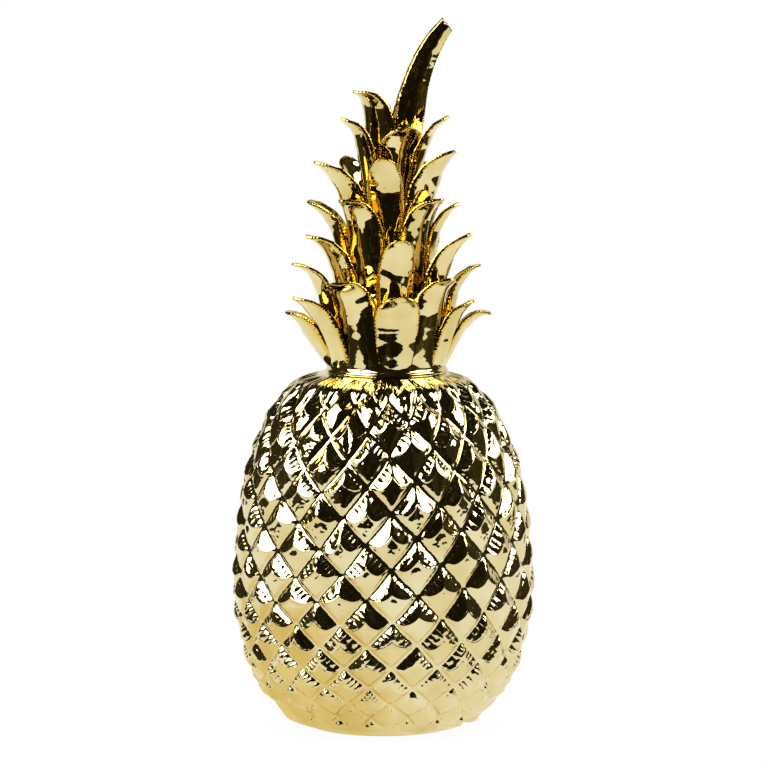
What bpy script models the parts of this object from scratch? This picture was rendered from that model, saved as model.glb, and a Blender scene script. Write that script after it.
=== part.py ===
"""Lidded porcelain jar in the shape of a pineapple: the fruit is the jar, the leaf crown is its lid.

Metres, +Z up. The origin is the centre of the foot. -Y is the front, and an azimuth of 0 degrees
points to the front, with positive azimuths turning towards +X.
"""

from collections import namedtuple
from math import cos, degrees, radians, sin

import bmesh
import bpy
import numpy as np
from mathutils import Vector

MM = 0.001

# Fruit: the outline over the tops of the eyes, as height and radius from the foot to the neck
FRUIT_OUTLINE_MM = (
    (0.0, 48.0),
    (4.0, 60.5),
    (12.0, 69.6),
    (24.0, 81.2),
    (40.0, 89.9),
    (60.0, 95.7),
    (85.0, 100.2),
    (110.0, 99.8),
    (140.0, 97.1),
    (170.0, 92.2),
    (195.0, 83.3),
    (212.0, 75.0),
    (224.0, 64.8),
    (232.0, 53.5),
    (235.2, 43.5),
)
NECK_TOP = 235.2 * MM
NECK_RADIUS = 42.5 * MM
MOUTH_RADIUS = 31.0 * MM
NECK_DEPTH = 7.0 * MM
WALL = 4.5 * MM
FOOT_RADIUS = 48.0 * MM
FOOT_RING_WIDTH = 8.0 * MM
FOOT_RECESS = 2.0 * MM
FLOOR_THICKNESS = 6.0 * MM
INNER_WALL_HEIGHTS_MM = (218, 200, 172, 135, 90, 50, 26, 13)
JAR_SIDES = 24

# Eyes: diamonds on a lattice of two crossing spirals. A half step across is 10 degrees, and a turn
# of 36 half steps comes back 4 half rows lower, which makes 16 spirals one way and 20 the other.
HALF_STEPS_ROUND = 36
HALF_ROWS_DROP = 4
FIRST_GROOVE_AZIMUTH = 3.4
MIDDLE_ROW_HEIGHT = 116.9 * MM
ROW_PITCH = 18.16 * MM
ROW_PITCH_GROWTH = 0.226 * MM
ROW_PITCH_FALL = -0.034 * MM
ROW_TILT = -2.1 * MM
ROW_TILT_GROWTH = 1.7 * MM
TILT_CENTRE_ROW = -0.95
TILT_REACH_ROWS = 7.35
BOTTOM_ROW = -8.0
TOP_ROW = 6.35
GROOVE_DEPTH = 3.6 * MM
CROSSING_DEPTH = 4.6 * MM
EYE_SHOULDER = 0.62
EYE_SHOULDER_DROP = 0.5 * MM
GRID_PER_STEP = 2

# Crown: stem, collar and locating ring. The lid sits a little off the fruit's axis.
CROWN_SHIFT = 2.4 * MM
SEAT_GAP = 0.3 * MM
COLLAR_RADIUS = 40.4 * MM
COLLAR_BEAD = 1.6 * MM
STEM_OUTLINE_MM = (
    (240.0, 39.2),
    (254.0, 36.5),
    (285.0, 28.0),
    (320.0, 21.0),
    (360.0, 14.0),
    (392.0, 9.0),
    (404.0, 4.0),
)
RING_OUTER_RADIUS = 27.5 * MM
RING_INNER_RADIUS = 23.0 * MM
RING_DEPTH = 9.0 * MM
STEM_WALL = 6.5 * MM
LID_HOLLOW_HEIGHTS_MM = (248, 285, 320, 345)
STEM_SIDES = 20

# Leaves: root and tip as azimuth in degrees, then millimetres from the crown's axis and from the
# table, the leaf's width, and the pitch in degrees at which it leaves the stem and ends at its tip
LEAF_FIELDS = "root_azimuth root_height tip_azimuth tip_reach tip_height width root_pitch tip_pitch"
Leaf = namedtuple("Leaf", LEAF_FIELDS)
FRONT_LEAVES = (
    Leaf(-84, 240, -88, 67, 275, 33, 45, 22),
    Leaf(-58, 240, -64, 69, 287, 27, 68, 20),
    Leaf(-26, 240, -37, 62, 298, 30, 80, 5),
    Leaf(42, 240, 49, 58, 300, 30, 78, 24),
    Leaf(66, 240, 73, 60, 284, 26, 66, 30),
    Leaf(86, 240, 91, 69, 274, 25, 60, -8),
    Leaf(-66, 246, -73, 65, 309, 28, 74, 20),
    Leaf(88, 248, 93, 62, 306, 27, 72, 22),
    Leaf(-56, 268, -62, 60, 328, 27, 80, 14),
    Leaf(58, 262, 66, 61, 329, 27, 76, 34),
    Leaf(-30, 288, -40, 47, 351, 28, 80, 10),
    Leaf(42, 288, 50, 48, 352, 28, 80, 22),
    Leaf(82, 286, 82, 48, 348, 24, 78, 32),
    Leaf(-93, 291, -97, 53, 348, 33, 72, 28),
    Leaf(-56, 316, -64, 53, 376, 29, 74, 28),
    Leaf(54, 312, 57, 53, 384, 31, 68, 38),
    Leaf(-55, 352, -62, 34, 404, 21, 80, 26),
    Leaf(80, 344, 82, 41, 405, 25, 73, 36),
    Leaf(-35, 368, -62, 25, 421, 27, 84, 10),
    Leaf(-165, 370, -165, 20, 412, 15, 84, 0),
)
# Leaves that end in a round tongue instead of a point
ROUND_LEAVES = (
    Leaf(10, 240, 9, 54, 290, 30, 78, 50),
    Leaf(9, 266, 11, 48, 327, 24, 82, 55),
    Leaf(-1, 318, -4, 34, 379, 23, 84, 56),
    Leaf(-130, 315, -135, 39, 376, 26, 82, 50),
    Leaf(26, 348, 30, 27, 399, 29, 84, 58),
)
# The back: rows of like leaves, as root height, tip height, reach, width and azimuths
BackRow = namedtuple("BackRow", "root_height tip_height reach width azimuths")
BACK_ROWS = (
    BackRow(240, 278, 56, 26, (127, 153, 181, 206, 233)),
    BackRow(250, 301, 52, 27, (140, 167, 195, 221)),
    BackRow(270, 323, 46, 26, (133, 164, 196, 227)),
    BackRow(290, 343, 40, 25, (140, 175, 210)),
    BackRow(316, 372, 35, 24, (130, 172)),
    BackRow(344, 398, 29, 20, (140, 200)),
)
BACK_ROOT_PITCH = 76
BACK_TIP_PITCH = 30
ROOT_PULL = 0.5
TIP_PULL = 0.3
LEAF_ROOT_DEPTH = 1.8 * MM
# A leaf's width as a share of its full width: its start and growth towards the tip, how late and
# how sharply it closes, and what is left at the tip
WidthShape = namedtuple("WidthShape", "start growth lateness sharpness tip")
POINTED_WIDTH = WidthShape(0.84, 0.50, 2.6, 0.75, 0.07)
ROUND_WIDTH = WidthShape(0.92, 0.14, 4.0, 0.50, 0.10)
# A leaf's section from rim to rim: place across its half width, and outer face 1, rim 0 or inner face -1
BLADE_SECTION = ((-1, 0), (-0.45, 1), (0.45, 1), (1, 0), (0, -1))
LEAF_THICKNESS = 3.6 * MM
LEAF_TIP_THICKNESS = 2.0 * MM
LEAF_ROOT_BEND_RADIUS = 20.0 * MM
LEAF_BEND_RADIUS = 16.0 * MM
LEAF_STATIONS = (0.0, 0.3, 0.58, 0.82, 1.0)
ROUND_LEAF_STATIONS = (0.0, 0.35, 0.68, 0.88, 0.97, 1.0)
SLIVER = 0.02 * MM
SHOOT_PATH_MM = (
    (10.6, -2.0, 380.0),
    (15.4, -3.0, 406.0),
    (19.1, -4.0, 423.5),
    (24.8, -5.0, 440.0),
    (31.6, -6.0, 453.5),
    (39.6, -7.0, 464.6),
)
SHOOT_WIDTHS_MM = (22.0, 21.0, 18.0, 15.4, 13.4, 10.4)
SHOOT_CAMBER = 0.35
SHOOT_AZIMUTH = 12

FRUIT_GOLD = (0.75, 0.63, 0.31, 1.0)
CROWN_GOLD = (0.76, 0.61, 0.27, 1.0)
GOLD_ROUGHNESS = 0.08
SHARP_ANGLE = 40


def clear_scene():
    """Remove whatever objects the file opens with."""
    for old in list(bpy.data.objects):
        bpy.data.objects.remove(old, do_unlink=True)


def lustre(name, colour):
    """A glazed porcelain material with a mirror-gold lustre."""
    material = bpy.data.materials.new(name)
    material.use_nodes = True
    shader = material.node_tree.nodes["Principled BSDF"]
    shader.inputs["Base Color"].default_value = colour
    shader.inputs["Metallic"].default_value = 1.0
    shader.inputs["Roughness"].default_value = GOLD_ROUGHNESS
    return material


def make_object(name, points, faces, material=None):
    """Link a closed mesh object made of points and faces."""
    mesh = bpy.data.meshes.new(name)
    mesh.from_pydata([tuple(point) for point in points], [], faces)
    mesh.validate()
    mesh.update()
    made = bpy.data.objects.new(name, mesh)
    bpy.context.scene.collection.objects.link(made)
    if material:
        mesh.materials.append(material)
        mesh.shade_smooth()
        mesh.set_sharp_from_angle(angle=radians(SHARP_ANGLE))
    return made


def hide_tool(tool):
    """Mark an object as a shaping tool that isn't part of the result."""
    tool.hide_render = True
    tool.display_type = "WIRE"


def smooth_curve(outline_mm, height):
    """Radius at a height on a smooth curve through the outline's points, in metres."""
    heights, radii = (np.array(column) * MM for column in zip(*outline_mm))
    slopes = np.gradient(radii, heights)
    height = min(max(height, heights[0]), heights[-1])
    low = min(int(np.searchsorted(heights, height, side="right")) - 1, len(heights) - 2)
    span = heights[low + 1] - heights[low]
    t = (height - heights[low]) / span
    start = (1 + 2 * t) * (1 - t) ** 2 * radii[low] + t * (1 - t) ** 2 * span * slopes[low]
    end = t * t * (3 - 2 * t) * radii[low + 1] + t * t * (t - 1) * span * slopes[low + 1]
    return float(start + end)


def polar(azimuth, radius, height):
    """A point from its azimuth in degrees, its distance from the Z axis and its height."""
    return (radius * sin(radians(azimuth)), -radius * cos(radians(azimuth)), height)


def ring(radius, height, count):
    """Points of a level circle, in order of azimuth."""
    return [polar(360 * i / count, radius, height) for i in range(count)]


# Fruit jar


def lattice_place(across, up):
    """Azimuth in degrees and height of a place on the eye lattice, in half steps and half rows."""
    azimuth = FIRST_GROOVE_AZIMUTH + 360 / HALF_STEPS_ROUND * across
    row = up + HALF_ROWS_DROP / HALF_STEPS_ROUND * across
    height = MIDDLE_ROW_HEIGHT + ROW_PITCH * row + ROW_PITCH_GROWTH * row**2 + ROW_PITCH_FALL * row**3
    fade = 1 - ((row - TILT_CENTRE_ROW) / TILT_REACH_ROWS) ** 4
    tilt = (ROW_TILT + ROW_TILT_GROWTH * row) * fade
    return azimuth, height + tilt * sin(radians(azimuth))


def eye_vertex(i, j):
    """A point of the fruit's surface: an eye's peak, its shoulder, a groove or a groove crossing."""
    across = i / GRID_PER_STEP
    up = j / GRID_PER_STEP
    sink = GROOVE_DEPTH
    if i % 2 == 0 and j % 2 == 0:
        sink = 0.0 if (i // 2 + j // 2) % 2 else CROSSING_DEPTH
    elif i % 2 != j % 2:
        sink = EYE_SHOULDER_DROP
        push = EYE_SHOULDER - 1 / GRID_PER_STEP
        if i % 2:
            peak_on_left = ((i - 1) // 2 + j // 2) % 2 == 1
            across += push if peak_on_left else -push
        else:
            peak_below = (i // 2 + (j - 1) // 2) % 2 == 1
            up += push if peak_below else -push
    azimuth, height = lattice_place(across, up)
    return polar(azimuth, smooth_curve(FRUIT_OUTLINE_MM, height) - sink, height)


class Shell:
    """Points and triangles of one closed surface, put together from rings and strips."""

    def __init__(self):
        self.points = []
        self.faces = []

    def add(self, points):
        """Add points and return their numbers."""
        first = len(self.points)
        self.points.extend(points)
        return list(range(first, len(self.points)))

    def zip_rings(self, lower, upper):
        """Join two closed rings that both run by azimuth, whatever their counts."""
        a, b = 0, 0
        while a < len(lower) or b < len(upper):
            low, high = lower[a % len(lower)], upper[b % len(upper)]
            next_low, next_high = lower[(a + 1) % len(lower)], upper[(b + 1) % len(upper)]
            if b >= len(upper) or (a < len(lower) and (a + 0.5) / len(lower) <= (b + 0.5) / len(upper)):
                self.faces.append((low, next_low, high))
                a += 1
            else:
                self.faces.append((low, next_high, high))
                b += 1

    def close(self, edge, centre, upwards):
        """Close a ring with a fan of triangles round a centre point."""
        (hub,) = self.add([centre])
        for k, point in enumerate(edge):
            following = edge[(k + 1) % len(edge)]
            self.faces.append((point, following, hub) if upwards else (following, point, hub))


def eye_surface(shell):
    """Add the fruit's outer surface and return its lower and upper edges."""
    columns = HALF_STEPS_ROUND * GRID_PER_STEP
    drop = HALF_ROWS_DROP * GRID_PER_STEP
    rows = {}
    number = {}
    for i in range(columns):
        slide = drop * i / columns
        low = int(np.ceil(BOTTOM_ROW * GRID_PER_STEP - slide))
        high = int(np.floor(TOP_ROW * GRID_PER_STEP - slide))
        rows[i] = (low, high)
        numbers = shell.add([eye_vertex(i, j) for j in range(low, high + 1)])
        number.update({(i, j): n for j, n in zip(range(low, high + 1), numbers)})
    rows[columns] = (rows[0][0] - drop, rows[0][1] - drop)
    for j in range(rows[0][0], rows[0][1] + 1):
        number[(columns, j - drop)] = number[(0, j)]
    for i in range(columns):
        left, right = rows[i], rows[i + 1]
        for j in range(max(left[0], right[0]), min(left[1], right[1])):
            a, b = number[(i, j)], number[(i + 1, j)]
            c, d = number[(i + 1, j + 1)], number[(i, j + 1)]
            rising = (i // GRID_PER_STEP + j // GRID_PER_STEP) % 2 == 0
            shell.faces += [(a, b, c), (a, c, d)] if rising else [(a, b, d), (b, c, d)]
        if right[0] < left[0]:
            shell.faces.append((number[(i, left[0])], number[(i + 1, right[0])], number[(i + 1, left[0])]))
        if right[1] < left[1]:
            shell.faces.append((number[(i, right[1])], number[(i + 1, right[1])], number[(i, left[1])]))
    lower = [number[(i, rows[i][0])] for i in range(columns)]
    upper = [number[(i, rows[i][1])] for i in range(columns)]
    return lower, upper


def turn_to_azimuth(edge, points):
    """Start a ring at its first point past azimuth 0."""
    azimuths = [degrees(np.arctan2(points[n][0], -points[n][1])) % 360 for n in edge]
    start = int(np.argmin(azimuths))
    return edge[start:] + edge[:start]


def fruit_jar():
    """The hollow jar: eyes outside, smooth wall inside, open neck, recessed foot."""
    shell = Shell()
    lower, upper = (turn_to_azimuth(edge, shell.points) for edge in eye_surface(shell))
    foot_recess = shell.add(ring(FOOT_RADIUS - FOOT_RING_WIDTH, FOOT_RECESS, JAR_SIDES))
    foot_inner = shell.add(ring(FOOT_RADIUS - FOOT_RING_WIDTH, 0.0, JAR_SIDES))
    foot_outer = shell.add(ring(FOOT_RADIUS, 0.0, JAR_SIDES))
    shell.close(foot_recess, (0, 0, FOOT_RECESS), upwards=False)
    shell.zip_rings(foot_recess, foot_inner)
    shell.zip_rings(foot_inner, foot_outer)
    shell.zip_rings(foot_outer, lower)
    neck = shell.add(ring(NECK_RADIUS, NECK_TOP, JAR_SIDES))
    mouth = shell.add(ring(MOUTH_RADIUS, NECK_TOP, JAR_SIDES))
    throat = shell.add(ring(MOUTH_RADIUS, NECK_TOP - NECK_DEPTH, JAR_SIDES))
    shell.zip_rings(upper, neck)
    shell.zip_rings(neck, mouth)
    shell.zip_rings(mouth, throat)
    above = throat
    wall = WALL + GROOVE_DEPTH
    for height in (height_mm * MM for height_mm in INNER_WALL_HEIGHTS_MM):
        radius = smooth_curve(FRUIT_OUTLINE_MM, height) - wall
        below = shell.add(ring(radius, height, JAR_SIDES))
        shell.zip_rings(above, below)
        above = below
    floor_height = FOOT_RECESS + FLOOR_THICKNESS
    floor = shell.add(ring(FOOT_RADIUS, floor_height, JAR_SIDES))
    shell.zip_rings(above, floor)
    shell.close(floor, (0, 0, floor_height), upwards=True)
    return make_object("fruit_jar", shell.points, shell.faces, lustre("fruit_lustre", FRUIT_GOLD))


# Crown lid


def lathe(name, outline, sides, material=None):
    """A solid turned from radius and height pairs that run up its outer side, closed at both ends."""
    shell = Shell()
    rings = [shell.add(ring(radius, height, sides)) for radius, height in outline]
    for lower, upper in zip(rings, rings[1:]):
        shell.zip_rings(lower, upper)
    shell.close(rings[0], (0, 0, outline[0][1]), upwards=False)
    shell.close(rings[-1], (0, 0, outline[-1][1]), upwards=True)
    return make_object(name, shell.points, shell.faces, material)


def blade(stations):
    """Points and faces of one leaf: five-sided rings along its length, closed at the root and tip.

    Each station is a centre, a side vector, an outward vector, a half width, a half thickness
    and a camber, which is how far the rims lie behind the middle.
    """
    points = []
    faces = []
    for centre, side, outward, half_width, half_thickness, camber in stations:
        for across, face in BLADE_SECTION:
            offset = face * half_thickness - camber * across**2
            points.append(centre + side * (across * half_width) + outward * offset)
    around = len(BLADE_SECTION)
    count = len(stations)
    for s in range(count - 1):
        for k in range(around):
            a, b = s * around + k, s * around + (k + 1) % around
            faces.append((a, b, b + around, a + around))
    faces.append(tuple(range(around - 1, -1, -1)))
    faces.append(tuple(range((count - 1) * around, count * around)))
    return points, faces


def bezier(p0, p1, p2, p3, t):
    """A point and its direction on a cubic curve."""
    u = 1 - t
    point = p0 * u**3 + p1 * (3 * u * u * t) + p2 * (3 * u * t * t) + p3 * t**3
    direction = (p1 - p0) * (3 * u * u) + (p2 - p1) * (6 * u * t) + (p3 - p2) * (3 * t * t)
    return point, direction.normalized()


def pitched(azimuth, pitch):
    """A direction from its azimuth and its pitch above the horizontal, in degrees."""
    return Vector(polar(azimuth, cos(radians(pitch)), sin(radians(pitch))))


def width_share(t, shape):
    """Share of a leaf's full width at a place from root 0 to tip 1."""
    closing = (1 - t**shape.lateness) ** shape.sharpness
    return (shape.start + shape.growth * t) * closing + shape.tip * t


def leaf_stations(leaf, rounded=False):
    """Stations of one leaf that rises from the stem and bends out to its tip."""
    root_height = leaf.root_height * MM
    stem_radius = smooth_curve(STEM_OUTLINE_MM, root_height)
    root = Vector(polar(leaf.root_azimuth, stem_radius - LEAF_ROOT_DEPTH, root_height))
    tip = Vector(polar(leaf.tip_azimuth, leaf.tip_reach * MM, leaf.tip_height * MM))
    length = (tip - root).length
    p1 = root + pitched(leaf.root_azimuth, leaf.root_pitch) * (ROOT_PULL * length)
    p2 = tip - pitched(leaf.tip_azimuth, leaf.tip_pitch) * (TIP_PULL * length)
    stations = []
    for t in ROUND_LEAF_STATIONS if rounded else LEAF_STATIONS:
        centre, along = bezier(root, p1, p2, tip, t)
        azimuth = leaf.root_azimuth + (leaf.tip_azimuth - leaf.root_azimuth) * t
        side = Vector(polar(azimuth + 90, 1.0, 0.0))
        side = (side - along * side.dot(along)).normalized()
        outward = side.cross(along).normalized()
        half_width = 0.5 * leaf.width * MM * width_share(t, ROUND_WIDTH if rounded else POINTED_WIDTH)
        thickness = LEAF_THICKNESS + (LEAF_TIP_THICKNESS - LEAF_THICKNESS) * t
        root_bend = min(stem_radius, LEAF_ROOT_BEND_RADIUS)
        bend = root_bend + (LEAF_BEND_RADIUS - root_bend) * min(2 * t, 1.0)
        camber = half_width**2 / (2 * bend)
        if rounded:
            camber *= 1 - t**3
        stations.append((centre, side, outward, half_width, 0.5 * thickness, camber))
    return stations


def shoot_stations():
    """Stations of the tall last shoot, which leans to one side with a ragged blunt tip."""
    places = [Vector(place) * MM for place in SHOOT_PATH_MM]
    stations = []
    for k, place in enumerate(places):
        before, after = places[max(k - 1, 0)], places[min(k + 1, len(places) - 1)]
        along = (after - before).normalized()
        side = Vector(polar(SHOOT_AZIMUTH + 90, 1.0, 0.0))
        side = (side - along * side.dot(along)).normalized()
        half_width = 0.5 * SHOOT_WIDTHS_MM[k] * MM
        camber = SHOOT_CAMBER * half_width
        stations.append((place, side, side.cross(along), half_width, 0.5 * LEAF_THICKNESS, camber))
    return stations


def pointed_leaves():
    """The pointed leaves seen from the front, then the rows that go on round the back."""
    leaves = list(FRONT_LEAVES)
    for row in BACK_ROWS:
        for azimuth in row.azimuths:
            way = (azimuth, row.root_height, azimuth, row.reach, row.tip_height)
            leaves.append(Leaf(*way, row.width, BACK_ROOT_PITCH, BACK_TIP_PITCH))
    return leaves


def leaf_bundle():
    """All the leaves as one tool object that is still in separate blades."""
    points = []
    faces = []
    pointed = [leaf_stations(leaf) for leaf in pointed_leaves()]
    round_tipped = [leaf_stations(leaf, rounded=True) for leaf in ROUND_LEAVES]
    for stations in pointed + round_tipped + [shoot_stations()]:
        blade_points, blade_faces = blade(stations)
        first = len(points)
        points += blade_points
        faces += [tuple(n + first for n in face) for face in blade_faces]
    bundle = make_object("leaf_bundle", points, faces)
    hide_tool(bundle)
    return bundle


def surfaces(bm):
    """The separate closed surfaces of a mesh, each as a set of faces that meet edge to edge."""
    waiting = set(bm.faces)
    found = []
    while waiting:
        rim = [waiting.pop()]
        surface = set(rim)
        while rim:
            for edge in rim.pop().edges:
                if len(edge.link_faces) != 2:
                    continue
                for face in edge.link_faces:
                    if face in waiting:
                        waiting.discard(face)
                        surface.add(face)
                        rim.append(face)
        found.append(surface)
    return found


def fill_pockets(piece):
    """Apply a piece's modifiers and fill the sealed pockets between overlapping leaf roots with clay."""
    bpy.context.view_layer.update()
    depsgraph = bpy.context.evaluated_depsgraph_get()
    mesh = bpy.data.meshes.new_from_object(piece.evaluated_get(depsgraph))
    bm = bmesh.new()
    bm.from_mesh(mesh)
    bmesh.ops.triangulate(bm, faces=bm.faces[:])
    bmesh.ops.remove_doubles(bm, verts=bm.verts[:], dist=SLIVER)
    bmesh.ops.dissolve_degenerate(bm, edges=bm.edges[:], dist=SLIVER)
    outer = max(surfaces(bm), key=len)
    bmesh.ops.delete(bm, geom=[face for face in bm.faces if face not in outer], context="FACES")
    bm.to_mesh(mesh)
    bm.free()
    piece.modifiers.clear()
    piece.data = mesh


def crown_lid():
    """The lid: collar, locating ring and stem turned as one, joined by the leaves, then hollowed."""
    seat = NECK_TOP + SEAT_GAP
    outline = [(RING_OUTER_RADIUS, seat - RING_DEPTH), (RING_OUTER_RADIUS, seat)]
    outline += [(COLLAR_RADIUS - COLLAR_BEAD, seat), (COLLAR_RADIUS, seat + COLLAR_BEAD)]
    outline += [(radius * MM, height * MM) for height, radius in STEM_OUTLINE_MM]
    lid = lathe("crown_lid", outline, STEM_SIDES, lustre("crown_lustre", CROWN_GOLD))
    leaves = leaf_bundle()
    joined = lid.modifiers.new("leaves", "BOOLEAN")
    joined.operation = "UNION"
    joined.object = leaves
    joined.use_self = True
    past_the_ring = seat - RING_DEPTH - 1.0 * MM
    hollow_outline = [(RING_INNER_RADIUS, past_the_ring), (RING_INNER_RADIUS, seat + STEM_WALL)]
    for height in (height_mm * MM for height_mm in LID_HOLLOW_HEIGHTS_MM):
        hollow_outline.append((smooth_curve(STEM_OUTLINE_MM, height) - STEM_WALL, height))
    hollow = lathe("lid_hollow_tool", hollow_outline, STEM_SIDES)
    hide_tool(hollow)
    emptied = lid.modifiers.new("hollow", "BOOLEAN")
    emptied.operation = "DIFFERENCE"
    emptied.object = hollow
    fill_pockets(lid)
    for tool in (leaves, hollow):
        bpy.data.objects.remove(tool, do_unlink=True)
    lid.location.x = CROWN_SHIFT
    return lid


def main():
    """Build the jar and its lid."""
    clear_scene()
    fruit_jar()
    crown_lid()
    bpy.context.view_layer.update()


main()
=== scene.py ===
"""Dresses the gold pineapple jar: relief on every eye, toothed crown leaves, mirror gold, studio."""

import logging
from dataclasses import dataclass, field
from enum import Enum
from math import cos, pi, radians, sin
from typing import Dict, List, Sequence, Tuple, Union

import bpy
import numpy as np
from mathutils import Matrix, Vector


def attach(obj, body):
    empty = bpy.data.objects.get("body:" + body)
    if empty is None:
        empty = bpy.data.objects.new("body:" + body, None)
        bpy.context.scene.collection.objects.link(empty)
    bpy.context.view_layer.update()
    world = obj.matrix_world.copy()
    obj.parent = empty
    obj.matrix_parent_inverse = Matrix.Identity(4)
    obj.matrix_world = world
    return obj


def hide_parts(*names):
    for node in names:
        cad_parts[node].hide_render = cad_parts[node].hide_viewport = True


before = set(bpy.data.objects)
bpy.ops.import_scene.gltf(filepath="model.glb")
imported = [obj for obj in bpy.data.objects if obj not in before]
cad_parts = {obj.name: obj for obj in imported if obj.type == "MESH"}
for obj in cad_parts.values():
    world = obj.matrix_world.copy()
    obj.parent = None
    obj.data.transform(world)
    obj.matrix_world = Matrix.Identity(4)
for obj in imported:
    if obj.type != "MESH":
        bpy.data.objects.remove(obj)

MM = 0.001
LOG = logging.getLogger("pineapple_jar")

Point = Tuple[float, float, float]
Colour = Tuple[float, float, float, float]
Number = Union["Formula", float]

WHITE: Colour = (1.0, 1.0, 1.0, 1.0)
OFF_SKIN = -4.0


class TipShape(Enum):
    """How a leaf ends: start, growth, lateness, sharpness and tip share of its width."""

    POINTED = (0.84, 0.50, 2.6, 0.75, 0.07)
    ROUND = (0.92, 0.14, 4.0, 0.50, 0.10)


class Fade(Enum):
    """How a value changes between two limits."""

    STRAIGHT = "LINEAR"
    SOFT = "SMOOTHSTEP"


class Formula:
    """A number inside a node tree, which plain arithmetic can be written with."""

    def __init__(self, tree: bpy.types.NodeTree, socket: bpy.types.NodeSocket) -> None:
        """Wrap a socket.

        Args:
            tree: The node tree that holds the socket.
            socket: The output socket that carries the number.
        """
        self.tree = tree
        self.socket = socket

    def feed(self, place: bpy.types.NodeSocket, value: Number) -> None:
        """Put a number into an input, by link or as it stands.

        Args:
            place: The input socket.
            value: A formula or a plain number.
        """
        if isinstance(value, Formula):
            self.tree.links.new(value.socket, place)
        else:
            place.default_value = value

    def math(self, operation: str, *others: Number) -> "Formula":
        """Combine this number with others.

        Args:
            operation: The math node's operation.
            others: The other numbers, in the node's order.

        Returns:
            The result as a formula.
        """
        node = self.tree.nodes.new("ShaderNodeMath")
        node.operation = operation
        for place, value in zip(node.inputs, (self, *others)):
            self.feed(place, value)
        return Formula(self.tree, node.outputs[0])

    def __add__(self, other: Number) -> "Formula":
        """Sum."""
        return self.math("ADD", other)

    __radd__ = __add__

    def __sub__(self, other: Number) -> "Formula":
        """Difference."""
        return self.math("SUBTRACT", other)

    def __rsub__(self, other: Number) -> "Formula":
        """Difference with this number taken away."""
        return self.math("MULTIPLY", -1.0) + other

    def __mul__(self, other: Number) -> "Formula":
        """Product."""
        return self.math("MULTIPLY", other)

    __rmul__ = __mul__

    def __truediv__(self, other: Number) -> "Formula":
        """Quotient."""
        return self.math("DIVIDE", other)

    def size(self) -> "Formula":
        """The number without its sign."""
        return self.math("ABSOLUTE")

    def power(self, exponent: float) -> "Formula":
        """The number to a power, with anything below zero taken as zero."""
        return self.math("MAXIMUM", 0.0).math("POWER", exponent)

    def least(self, other: Number, blend: float = 0.0) -> "Formula":
        """The smaller of two numbers.

        Args:
            other: The other number.
            blend: Over what difference the one changes softly into the other.

        Returns:
            The smaller number.
        """
        if blend > 0.0:
            return self.math("SMOOTH_MIN", other, blend)
        return self.math("MINIMUM", other)

    def bell(self, width: float) -> "Formula":
        """One at zero, falling smoothly to nothing at about twice the width."""
        scaled = self * (1.0 / width)
        return (scaled * scaled * -1.0).math("EXPONENT")

    def ramp(self, low: float, high: float, fade: Fade = Fade.SOFT) -> "Formula":
        """Zero at or below the low limit, one at or above the high one.

        Args:
            low: The value that gives zero.
            high: The value that gives one.
            fade: How it changes between them.

        Returns:
            The share from zero to one.
        """
        node = self.tree.nodes.new("ShaderNodeMapRange")
        node.interpolation_type = fade.value
        self.feed(node.inputs["Value"], self)
        node.inputs["From Min"].default_value = low
        node.inputs["From Max"].default_value = high
        return Formula(self.tree, node.outputs["Result"])

    def chance(self, salt: float) -> "Formula":
        """A fixed random number from zero to one for this number.

        Args:
            salt: Tells one random number of the same thing from another.

        Returns:
            The random number.
        """
        node = self.tree.nodes.new("ShaderNodeTexWhiteNoise")
        node.noise_dimensions = "1D"
        self.feed(node.inputs["W"], self + salt)
        return Formula(self.tree, node.outputs["Value"])


def cloud(
    tree: bpy.types.NodeTree,
    vector: bpy.types.NodeSocket,
    scale: float,
    detail: float = 2.0,
    harshness: float = 0.5,
) -> Formula:
    """Smooth noise about zero.

    Args:
        tree: The node tree.
        vector: The socket with the places.
        scale: Bumps per metre, or per unit of the places.
        detail: How many finer layers lie on it.
        harshness: How strong each finer layer is beside the one before.

    Returns:
        Noise from about minus a half to plus a half.
    """
    node = tree.nodes.new("ShaderNodeTexNoise")
    node.inputs["Scale"].default_value = scale
    node.inputs["Detail"].default_value = detail
    node.inputs["Roughness"].default_value = harshness
    tree.links.new(vector, node.inputs["Vector"])
    return Formula(tree, node.outputs[0]) - 0.5


def blend_colours(
    tree: bpy.types.NodeTree,
    first: Union[Colour, bpy.types.NodeSocket],
    second: Colour,
    share: Formula,
) -> bpy.types.NodeSocket:
    """Mix two colours.

    Args:
        tree: The node tree.
        first: The colour, or a socket with it, where the share is zero.
        second: The colour where the share is one.
        share: How much of the second colour there is.

    Returns:
        The socket of the mixed colour.
    """
    node = tree.nodes.new("ShaderNodeMix")
    node.data_type = "RGBA"
    if isinstance(first, bpy.types.NodeSocket):
        tree.links.new(first, node.inputs["A"])
    else:
        node.inputs["A"].default_value = first
    node.inputs["B"].default_value = second
    tree.links.new(share.socket, node.inputs["Factor"])
    return node.outputs["Result"]


def seen_by_camera(tree: bpy.types.NodeTree) -> Formula:
    """One where the camera looks straight at the surface, and zero for every other ray."""
    return Formula(tree, tree.nodes.new("ShaderNodeLightPath").outputs["Is Camera Ray"])


def carried(tree: bpy.types.NodeTree, name: str) -> Formula:
    """A number that the mesh carries, for use in its material.

    Args:
        tree: The material's node tree.
        name: The attribute's name.

    Returns:
        The number as a formula.
    """
    node = tree.nodes.new("ShaderNodeAttribute")
    node.attribute_name = name
    return Formula(tree, node.outputs["Fac"])


def polar(azimuth: float, radius: float, height: float) -> Point:
    """A point from its azimuth in degrees, its distance from the Z axis and its height."""
    return (radius * sin(radians(azimuth)), -radius * cos(radians(azimuth)), height)


def ring(radius: float, height: float, count: int) -> List[Point]:
    """Points of a level circle, in order of azimuth."""
    return [polar(360 * i / count, radius, height) for i in range(count)]


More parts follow.
